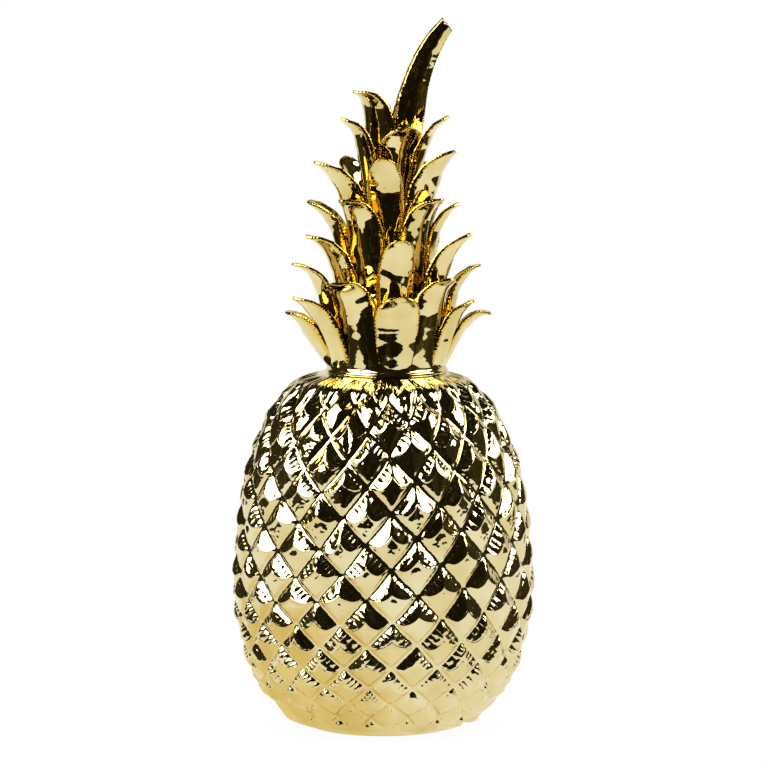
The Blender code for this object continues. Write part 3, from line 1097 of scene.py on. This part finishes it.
@dataclass
class CrownLid:
    """The crown: a hollow stem with a collar and a locating ring, and the leaves that grow from it."""

    shift: float = 2.4 * MM
    seat: float = 235.5 * MM
    collar_radius: float = 40.4 * MM
    bead: float = 1.6 * MM
    stem: Outline = Outline(
        (
            *((240.0, 39.2), (254.0, 36.5), (285.0, 28.0), (320.0, 21.0)),
            *((360.0, 14.0), (392.0, 9.0), (404.0, 4.0)),
        )
    )
    ring_outer: float = 27.5 * MM
    ring_inner: float = 23.0 * MM
    ring_depth: float = 9.0 * MM
    stem_wall: float = 6.5 * MM
    hollow_heights_mm: Tuple[float, ...] = (248, 266, 285, 302, 320, 333, 345)
    stem_foot: float = 241.0 * MM
    stem_shoulder: float = 403.5 * MM
    stem_top: float = 404.0 * MM
    stem_rings: int = 60
    edge_round: float = 0.5 * MM
    sides: int = 96
    pointed: Tuple[Leaf, ...] = (
        Leaf(-84, 240, -88, 67, 275, 33, 45, 22),
        Leaf(-58, 240, -64, 69, 287, 27, 68, 20),
        Leaf(-26, 240, -37, 62, 298, 30, 80, 5),
        Leaf(42, 240, 49, 58, 300, 30, 78, 24),
        Leaf(66, 240, 73, 60, 284, 26, 66, 30),
        Leaf(86, 240, 91, 69, 274, 25, 60, -8),
        Leaf(-66, 246, -73, 65, 309, 28, 74, 20),
        Leaf(88, 248, 93, 62, 306, 27, 72, 22),
        Leaf(-56, 268, -62, 60, 328, 27, 80, 14),
        Leaf(58, 262, 66, 61, 329, 27, 76, 34),
        Leaf(-30, 288, -40, 47, 351, 28, 80, 10),
        Leaf(42, 288, 50, 48, 352, 28, 80, 22),
        Leaf(82, 286, 82, 48, 348, 24, 78, 32),
        Leaf(-93, 291, -97, 53, 348, 33, 72, 28),
        Leaf(-56, 316, -64, 53, 376, 29, 74, 28),
        Leaf(54, 312, 57, 53, 384, 31, 68, 38),
        Leaf(-55, 352, -62, 34, 404, 21, 80, 26),
        Leaf(80, 344, 82, 41, 405, 25, 73, 36),
        Leaf(-35, 368, -62, 25, 421, 27, 84, 10),
        Leaf(-165, 370, -165, 20, 412, 15, 84, 0),
    )
    rounded: Tuple[Leaf, ...] = (
        Leaf(10, 240, 9, 54, 290, 30, 78, 50),
        Leaf(9, 266, 11, 48, 327, 24, 82, 55),
        Leaf(-1, 318, -4, 34, 379, 23, 84, 56),
        Leaf(-130, 315, -135, 39, 376, 26, 82, 50),
        Leaf(26, 348, 30, 27, 399, 29, 84, 58),
    )
    back: Tuple[LeafRow, ...] = (
        LeafRow(240, 278, 56, 26, (127, 153, 181, 206, 233)),
        LeafRow(250, 301, 52, 27, (140, 167, 195, 221)),
        LeafRow(270, 323, 46, 26, (133, 164, 196, 227)),
        LeafRow(290, 343, 40, 25, (140, 175, 210)),
        LeafRow(316, 372, 35, 24, (130, 172)),
        LeafRow(344, 398, 29, 20, (140, 200)),
    )
    back_root_pitch: float = 76
    back_tip_pitch: float = 30
    root_pull: float = 0.5
    tip_pull: float = 0.3
    root_depth: float = 1.8 * MM
    thickness: float = 3.4 * MM
    tip_thickness: float = 1.9 * MM
    root_bend_radius: float = 20.0 * MM
    bend_radius: float = 16.0 * MM
    stations: int = 84
    crowding: float = 1.5
    tooth_pitch: float = 1.6 * MM
    tooth_depth: float = 0.36 * MM
    tooth_roughness: float = 1.6
    roughness_scale: float = 420.0
    rim_tooling: float = 0.24 * MM
    tooling_scale: float = 600.0
    # Deeper gold painted on the rims and tips as the reflection of gold in gold.
    rim_reflection_colour: Colour = (0.76, 0.52, 0.09, 1.0)
    crinkle: float = 0.8 * MM
    crinkle_scale: float = 260.0
    sway: float = 3.0 * MM
    sway_scale: float = 42.0
    dents: float = 1.7 * MM
    dents_scale: float = 110.0
    seed: float = 9.0
    shoot_mm: Tuple[Point, ...] = (
        *((10.6, -2.0, 380.0), (15.4, -3.0, 406.0), (19.1, -4.0, 423.5)),
        *((24.8, -5.0, 440.0), (31.6, -6.0, 453.5), (39.6, -7.0, 464.6)),
    )
    shoot_widths_mm: Tuple[float, ...] = (22.0, 21.0, 18.0, 15.4, 13.4, 10.4)
    shoot_azimuth: float = 12
    shoot_camber: float = 0.35
    shoot_ragged: float = 1.3 * MM
    section: Tuple[Point, ...] = (
        *((-0.98, 0.60, 0.9), (-0.92, 1.15, 0.7), (-0.80, 0.86, 0.15), (-0.45, 0.92, 0.0)),
        *((0.00, 0.94, 0.0), (0.45, 0.92, 0.0), (0.80, 0.86, 0.15), (0.92, 1.15, 0.7)),
        *((0.98, 0.60, 0.9), (1.03, 0.00, 1.0), (0.98, -0.60, 0.9), (0.90, -1.10, 0.6)),
        *((0.75, -0.85, 0.1), (0.00, -0.90, 0.0), (-0.75, -0.85, 0.1)),
        *((-0.90, -1.10, 0.6), (-0.98, -0.60, 0.9), (-1.03, 0.00, 1.0)),
    )

    def leaves(self) -> List[Tuple[Leaf, TipShape]]:
        """List all leaves but the last shoot.

        Returns:
            Each leaf with the shape of its tip.
        """
        found = [(leaf, TipShape.POINTED) for leaf in self.pointed]
        for row in self.back:
            for azimuth in row.azimuths:
                way = (azimuth, row.root_height, azimuth, row.reach, row.tip_height, row.width)
                leaf = Leaf(*way, self.back_root_pitch, self.back_tip_pitch)
                found.append((leaf, TipShape.POINTED))
        return found + [(leaf, TipShape.ROUND) for leaf in self.rounded]

    def pitched(self, azimuth: float, pitch: float) -> np.ndarray:
        """A direction from its azimuth and its pitch above the horizontal, in degrees."""
        return np.array(polar(azimuth, cos(radians(pitch)), sin(radians(pitch))))

    def leaf_path(self, leaf: Leaf, tip_shape: TipShape) -> Dict[str, np.ndarray]:
        """The middle line of a leaf with its widths and turns.

        Args:
            leaf: The leaf.
            tip_shape: How it ends.

        Returns:
            Its arrays, as framed returns them.
        """
        stem_radius = self.stem.radius(leaf.root_height * MM)
        root = np.array(polar(leaf.root_azimuth, stem_radius - self.root_depth, leaf.root_height * MM))
        tip = np.array(polar(leaf.tip_azimuth, leaf.tip_reach * MM, leaf.tip_height * MM))
        length = float(np.linalg.norm(tip - root))
        p1 = root + self.pitched(leaf.root_azimuth, leaf.root_pitch) * (self.root_pull * length)
        p2 = tip - self.pitched(leaf.tip_azimuth, leaf.tip_pitch) * (self.tip_pull * length)
        t = 1 - (1 - np.linspace(0, 1, self.stations)[:, None]) ** self.crowding
        s = 1 - t
        centre = root * s**3 + p1 * (3 * s * s * t) + p2 * (3 * s * t * t) + tip * t**3
        along = (p1 - root) * (3 * s * s) + (p2 - p1) * (6 * s * t) + (tip - p2) * (3 * t * t)
        t = t[:, 0]
        azimuth = np.radians(leaf.root_azimuth + (leaf.tip_azimuth - leaf.root_azimuth) * t + 90)
        side = np.stack([np.sin(azimuth), -np.cos(azimuth), 0 * azimuth], axis=1)
        start, growth, lateness, sharpness, end = tip_shape.value
        share = (start + growth * t) * (1 - t**lateness) ** sharpness + end * t
        root_bend = min(stem_radius, self.root_bend_radius)
        bend = root_bend + (self.bend_radius - root_bend) * np.minimum(2 * t, 1.0)
        half_width = 0.5 * leaf.width * MM * share
        camber = half_width**2 / (2 * bend)
        if tip_shape is TipShape.ROUND:
            camber = camber * (1 - t**3)
        half_width = half_width * (1 - t**60) ** 0.5
        thickness = self.thickness + (self.tip_thickness - self.thickness) * t
        thickness = thickness * (1 - 0.8 * t**90) ** 0.5
        sizes = {"half_width": half_width, "thickness": thickness, "camber": camber}
        return self.framed(centre, along, side, sizes)

    def framed(
        self, centre: np.ndarray, along: np.ndarray, side: np.ndarray, sizes: Dict[str, np.ndarray]
    ) -> Dict[str, np.ndarray]:
        """Square up the directions of a path.

        Args:
            centre: Middle points.
            along: Directions along the leaf, of any length.
            side: Directions across it, roughly.
            sizes: Half widths, thicknesses and cambers, which are how far the rims lie back.

        Returns:
            All of it by name, with unit vectors at right angles, the share of the leaf's length,
            the distance run and a raggedness of zero.
        """
        along = along / np.linalg.norm(along, axis=1)[:, None]
        side = side - along * np.sum(side * along, axis=1)[:, None]
        side = side / np.linalg.norm(side, axis=1)[:, None]
        steps = np.linalg.norm(np.diff(centre, axis=0), axis=1)
        share = np.linspace(0, 1, self.stations)
        run = np.concatenate([[0.0], np.cumsum(steps)])
        lines = {"centre": centre, "side": side, "outward": np.cross(side, along)}
        return {**lines, **sizes, "ragged": 0.0 * share, "share": share, "run": run}

    def shoot_path(self) -> Dict[str, np.ndarray]:
        """The tall last shoot, which leans to one side with a ragged blunt tip.

        Returns:
            Its arrays, as framed returns them.
        """
        marks = np.array(self.shoot_mm) * MM
        place = np.linspace(0, len(marks) - 1, self.stations)
        knots = np.arange(len(marks))
        centre = np.stack([self.eased(place, knots, marks[:, k]) for k in range(3)], axis=1)
        along = np.gradient(centre, axis=0)
        turn = radians(self.shoot_azimuth + 90)
        side = np.tile(np.array([sin(turn), -cos(turn), 0.0]), (self.stations, 1))
        half_width = 0.5 * MM * self.eased(place, knots, np.array(self.shoot_widths_mm))
        sizes = {"half_width": half_width, "thickness": np.full(self.stations, self.thickness)}
        sizes["camber"] = self.shoot_camber * half_width
        path = self.framed(centre, along, side, sizes)
        path["ragged"] = self.shoot_ragged * np.clip(place / (len(marks) - 1) * 12 - 11, 0, 1)
        path["share"] = 0.85 * path["share"]
        return path

    def eased(self, place: np.ndarray, knots: np.ndarray, values: np.ndarray) -> np.ndarray:
        """Values on a smooth curve through the knots.

        Args:
            place: Where to read the curve, in knots.
            knots: The knots' numbers, from 0.
            values: The value at each knot.

        Returns:
            The values at the places.
        """
        slopes = np.gradient(values.astype(float), knots)
        low = np.clip(place.astype(int), 0, len(knots) - 2)
        return hermite(place - low, values[low], values[low + 1], slopes[low], slopes[low + 1])

    def blade(self, path: Dict[str, np.ndarray], number: int, parts: Dict[str, list]) -> None:
        """Add one leaf's mesh to the parts.

        Args:
            path: The leaf's path.
            number: The leaf's number.
            parts: Lists of points, faces and attributes, which grow.
        """
        across, face, rim = np.array(self.section).T
        first = len(parts["points"])
        around = len(across)
        half = path["half_width"][:, None]
        offset = face * path["thickness"][:, None] * 0.5 - path["camber"][:, None] * across**2
        points = path["centre"][:, None, :] + path["side"][:, None, :] * (across * half)[..., None]
        points = points + path["outward"][:, None, :] * offset[..., None]
        torn = np.sin(5.5 * across + 0.6) - 0.6 * across
        back = np.cross(path["side"], path["outward"])[:, None, :]
        points = points - back * (path["ragged"][:, None] * torn)[..., None]
        count = len(points)
        parts["points"].extend(map(tuple, points.reshape(-1, 3)))
        away = path["side"][:, None, :] * np.sign(across)[None, :, None]
        parts["rim_way"].extend(map(tuple, away.reshape(-1, 3)))
        level = np.repeat(path["outward"][:, None, :], around, axis=1)
        parts["leaf_outward"].extend(map(tuple, level.reshape(-1, 3)))
        parts["rim"].extend(np.tile(rim, count))
        parts["run"].extend(np.repeat(path["run"], around))
        parts["tip_share"].extend(np.repeat(path["share"], around))
        parts["leaf_number"].extend(np.full(count * around, float(number)))
        for s in range(count - 1):
            for k in range(around):
                a, b = first + s * around + k, first + s * around + (k + 1) % around
                parts["faces"].append((a, b, b + around, a + around))
        parts["faces"].append(tuple(range(first + around - 1, first - 1, -1)))
        last = first + (count - 1) * around
        parts["faces"].append(tuple(range(last, last + around)))

    def stem_shell(self) -> Shell:
        """The stem, collar, bead and locating ring as one hollow turned form.

        Returns:
            The closed surface.
        """
        r = self.edge_round
        seat = self.seat
        low = seat - self.ring_depth
        bead = self.bead
        profile = [(self.ring_inner, low + r), (self.ring_inner + r, low), (self.ring_outer - r, low)]
        profile += [(self.ring_outer, low + r), (self.ring_outer, seat), (self.collar_radius - bead, seat)]
        for turn in range(-60, 91, 30):
            out = self.collar_radius - bead + bead * cos(radians(turn))
            profile.append((out, seat + bead + bead * sin(radians(turn))))
        for height in np.linspace(self.stem_foot, self.stem_shoulder, self.stem_rings):
            profile.append((self.stem.radius(float(height)), float(height)))
        inner = [(self.ring_inner, seat + self.stem_wall)]
        for height in (height_mm * MM for height_mm in self.hollow_heights_mm):
            inner.append((self.stem.radius(height) - self.stem_wall, height))
        shell = Shell()
        rings = shell.turn(profile, self.sides)
        shell.join(rings)
        shell.close(rings[-1], (0, 0, self.stem_top), upwards=True)
        inside = [rings[0]] + shell.turn(inner, self.sides)
        shell.join(inside[::-1])
        shell.close(inside[-1], (0, 0, inner[-1][1]), upwards=False)
        return shell

    def rim_tree(self) -> ShapeTree:
        """Write the tree that cuts the teeth into the leaves' rims and crinkles their tips.

        Returns:
            The tree.
        """
        sizes = {"Tooth pitch": self.tooth_pitch, "Tooth depth": self.tooth_depth, "Crinkle": self.crinkle}
        sizes.update({"Sway": self.sway, "Dents": self.dents, "Seed": self.seed})
        form = ShapeTree("toothed_rims", sizes)
        leaf = form.stored("leaf_number") + form.given("Seed")
        run = form.stored("run")
        rim = form.stored("rim")
        tip = form.stored("tip_share")
        wave = (run / form.given("Tooth pitch") + leaf.chance(1.0)).math("PINGPONG", 0.5) * 2.0 - 0.5
        rough = cloud(form.tree, form.place(), self.roughness_scale) * self.tooth_roughness
        grown = tip.ramp(0.08, 0.3)
        teeth = (wave + rough) * rim * grown * form.given("Tooth depth")
        folds = cloud(form.tree, form.place(), self.crinkle_scale) * form.given("Crinkle")
        curl = folds * (rim + 0.15) * grown
        sway = cloud(form.tree, form.place(), self.sway_scale, 1.0) * form.given("Sway")
        dents = cloud(form.tree, form.place(), self.dents_scale, 1.0) * form.given("Dents")
        form.move([("rim_way", teeth), ("leaf_outward", curl + (sway + dents) * tip.ramp(0.0, 0.4))])
        return form

    def finish(self, gold: MirrorGold) -> bpy.types.Material:
        """Make the crown's gold, with tooled rims, and rims and tips in a deeper gold that is a painted
        reflection of gold in gold.

        Args:
            gold: The lustre.

        Returns:
            The material.
        """
        material, places = gold.start("crown_gold")
        tree = material.node_tree
        # Rims and leaf tips get the deeper gold, a painted reflection of gold in gold; the same mask also
        # carries the real tooling bump.
        rim = carried(tree, "rim").ramp(0.2, 0.8).math("MAXIMUM", carried(tree, "tip_share").ramp(0.86, 0.90))
        base = tree.nodes["Principled BSDF"].inputs["Base Color"]
        tree.links.new(blend_colours(tree, base.links[0].from_socket, self.rim_reflection_colour, rim), base)
        tooled = cloud(tree, places, self.tooling_scale, 1.0) * rim * self.rim_tooling
        gold.finish(material, tooled + gold.waves(tree, places))
        return material

    def build(self, gold: MirrorGold) -> bpy.types.Object:
        """Build and dress the crown.

        Args:
            gold: The lustre.

        Returns:
            The finished piece.
        """
        stem = self.stem_shell()
        spare = len(stem.points)
        parts: Dict[str, list] = {"points": list(stem.points), "faces": list(stem.faces)}
        for name in ("rim", "run", "tip_share", "leaf_number"):
            parts[name] = [0.0] * spare
        for name in ("rim_way", "leaf_outward"):
            parts[name] = [(0.0, 0.0, 0.0)] * spare
        paths = [self.leaf_path(leaf, tip_shape) for leaf, tip_shape in self.leaves()]
        paths.append(self.shoot_path())
        for number, path in enumerate(paths):
            self.blade(path, number + 1, parts)
        points = [(x + self.shift, y, z) for x, y, z in parts["points"]]
        piece = make_mesh_object("crown_lid_gold", points, parts["faces"])
        for name in ("rim", "run", "tip_share", "leaf_number", "rim_way", "leaf_outward"):
            add_numbers(piece.data, name, np.array(parts[name]))
        self.rim_tree().shape(piece, self.finish(gold))
        return piece


@dataclass(frozen=True)
class Softbox:
    """A soft lamp box, placed by where it stands as seen from the jar."""

    name: str
    azimuth: float
    elevation: float
    distance: float
    width: float
    height: float
    radiance: float

    def build(self, aim: Vector) -> None:
        """Hang the lamp so that it faces a point.

        Args:
            aim: The point.
        """
        data = bpy.data.lights.new(self.name, "AREA")
        data.shape = "RECTANGLE"
        data.size = self.width
        data.size_y = self.height
        data.energy = self.radiance * pi * self.width * self.height
        lamp = bpy.data.objects.new(self.name, data)
        flat = self.distance * cos(radians(self.elevation))
        lift = self.distance * sin(radians(self.elevation))
        lamp.location = aim + Vector(polar(self.azimuth, flat, lift))
        lamp.rotation_euler = (aim - lamp.location).to_track_quat("-Z", "Y").to_euler()
        lamp.visible_camera = False
        bpy.context.scene.collection.objects.link(lamp)


@dataclass
class Studio:
    """White table, white surroundings behind, a dark room in front, two soft boxes and the camera."""

    aim: Point = (0.0005, 0.0, 0.2273)
    camera_distance: float = 4.0
    camera_pitch: float = 6.5
    lens: float = 284.1
    sensor: float = 36.0
    view_reach: float = 50.0
    table_front: float = 0.5
    table_side: float = 0.7
    table_back: float = 4.0
    table_drop: float = 0.2 * MM
    # foot_shade and shade_reach: painted contact shadow, which dims the table's glow by ambient occlusion.
    foot_shade: float = 0.03
    shade_reach: float = 0.02
    # A painted shade round the foot, warm as if lit by light thrown back from the gold, seen only by
    # reflected rays.
    shade_pool_centre: Point = (-0.10, -0.03, 0.0)
    shade_pool_inner: float = 0.05
    shade_pool_outer: float = 0.22
    painted_shade_colour: Colour = (0.90, 0.77, 0.44, 1.0)
    backdrop_glow: float = 0.85
    backdrop_lean: float = 0.16
    backdrop_edges: Tuple[float, float] = (0.66, 0.80)
    side_glow: float = 0.025
    room_glow: float = 0.11
    room_dark: float = 0.010
    room_scale: float = 5.0
    room_colour: Colour = (1.0, 0.80, 0.36, 1.0)
    boxes: Tuple[Softbox, ...] = (
        Softbox("left_softbox", -60, 34, 1.7, 1.55, 1.4, 5.0),
        Softbox("right_softbox", 82, 34, 1.8, 1.3, 0.95, 4.5),
    )

    def floor(self) -> None:
        """Lay the white table, with a painted contact shadow at the foot and, for every ray but the camera's,
        a painted warm shade round the foot.
        """
        x, y0, y1 = self.table_side, -self.table_front, self.table_back
        piece = make_mesh_object("table", [(-x, y0, 0), (x, y0, 0), (x, y1, 0), (-x, y1, 0)], [(0, 1, 2, 3)])
        piece.location.z = -self.table_drop
        material = bpy.data.materials.new("white_table")
        material.use_nodes = True
        tree = material.node_tree
        tree.nodes.remove(tree.nodes["Principled BSDF"])
        glow = tree.nodes.new("ShaderNodeEmission")
        shade = tree.nodes.new("ShaderNodeAmbientOcclusion")
        shade.inputs["Distance"].default_value = self.shade_reach
        spread = tree.nodes.new("ShaderNodeVectorMath")
        spread.operation = "DISTANCE"
        spread.inputs[1].default_value = self.shade_pool_centre
        tree.links.new(tree.nodes.new("ShaderNodeTexCoord").outputs["Object"], spread.inputs[0])
        # Painted shade: the glow turns darker and warmer towards the foot, except for camera rays.
        far = Formula(tree, spread.outputs["Value"]).ramp(self.shade_pool_inner, self.shade_pool_outer)
        white = far.math("MAXIMUM", seen_by_camera(tree))
        tree.links.new(blend_colours(tree, self.painted_shade_colour, WHITE, white), glow.inputs["Color"])
        # Painted contact shadow: ambient occlusion dims the glow at the foot.
        strength = Formula(tree, shade.outputs["AO"]) * self.foot_shade + (1.0 - self.foot_shade)
        tree.links.new(strength.socket, glow.inputs["Strength"])
        tree.links.new(glow.outputs[0], tree.nodes["Material Output"].inputs["Surface"])
        piece.data.materials.append(material)

    def surroundings(self) -> None:
        """White behind the jar and wherever the camera looks, dark in front of it."""
        world = bpy.data.worlds.new("studio")
        bpy.context.scene.world = world
        world.use_nodes = True
        tree = world.node_tree
        parted = tree.nodes.new("ShaderNodeSeparateXYZ")
        direction = tree.nodes.new("ShaderNodeTexCoord").outputs["Generated"]
        tree.links.new(direction, parted.inputs[0])
        x = Formula(tree, parted.outputs["X"])
        behind = (Formula(tree, parted.outputs["Y"]) + x * self.backdrop_lean).ramp(*self.backdrop_edges)
        lit = (behind * self.backdrop_glow).math("MAXIMUM", seen_by_camera(tree))
        clutter = cloud(tree, direction, self.room_scale, 3.0).ramp(0.0, 0.35)
        room = clutter * self.room_glow + self.room_dark + x.size().ramp(0.4, 1.0) * self.side_glow
        shader = tree.nodes["Background"]
        tree.links.new(blend_colours(tree, self.room_colour, WHITE, lit), shader.inputs["Color"])
        tree.links.new(room.math("MAXIMUM", lit).socket, shader.inputs["Strength"])

    def camera(self) -> None:
        """Stand the camera at the photograph's angle."""
        data = bpy.data.cameras.new("camera")
        data.lens = self.lens
        data.sensor_width = self.sensor
        data.clip_end = self.view_reach
        camera = bpy.data.objects.new("camera", data)
        way = Vector(polar(0, cos(radians(self.camera_pitch)), sin(radians(self.camera_pitch))))
        camera.location = Vector(self.aim) + way * self.camera_distance
        camera.rotation_euler = (radians(90 - self.camera_pitch), 0.0, 0.0)
        bpy.context.scene.collection.objects.link(camera)
        bpy.context.scene.camera = camera

    def build(self) -> None:
        """Set up the whole studio."""
        self.camera()
        self.surroundings()
        self.floor()
        for box in self.boxes:
            box.build(Vector(self.aim))
        bpy.context.scene.view_settings.view_transform = "Standard"


def report(piece: bpy.types.Object) -> None:
    """Log a piece's size in triangles."""
    piece.data.calc_loop_triangles()
    LOG.info("%s: %d triangles", piece.name, len(piece.data.loop_triangles))


def main() -> None:
    """Build the studio and both pieces."""
    logging.basicConfig(level=logging.INFO, format="%(message)s")
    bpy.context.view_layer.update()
    Studio().build()
    jar = FruitJar().build(MirrorGold())
    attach(jar, "root")
    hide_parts("fruit_jar")
    report(jar)
    thick = MirrorGold(
        deep=(0.67, 0.545, 0.20, 1.0),
        pale=(0.82, 0.70, 0.36, 1.0),
        ripple=0.18 * MM,
        orange_peel=0.004 * MM,
        harshness=0.4,
    )
    crown = CrownLid().build(thick)
    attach(crown, "root")
    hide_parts("crown_lid")
    report(crown)
    bpy.context.view_layer.update()


if __name__ == "__main__":
    main()
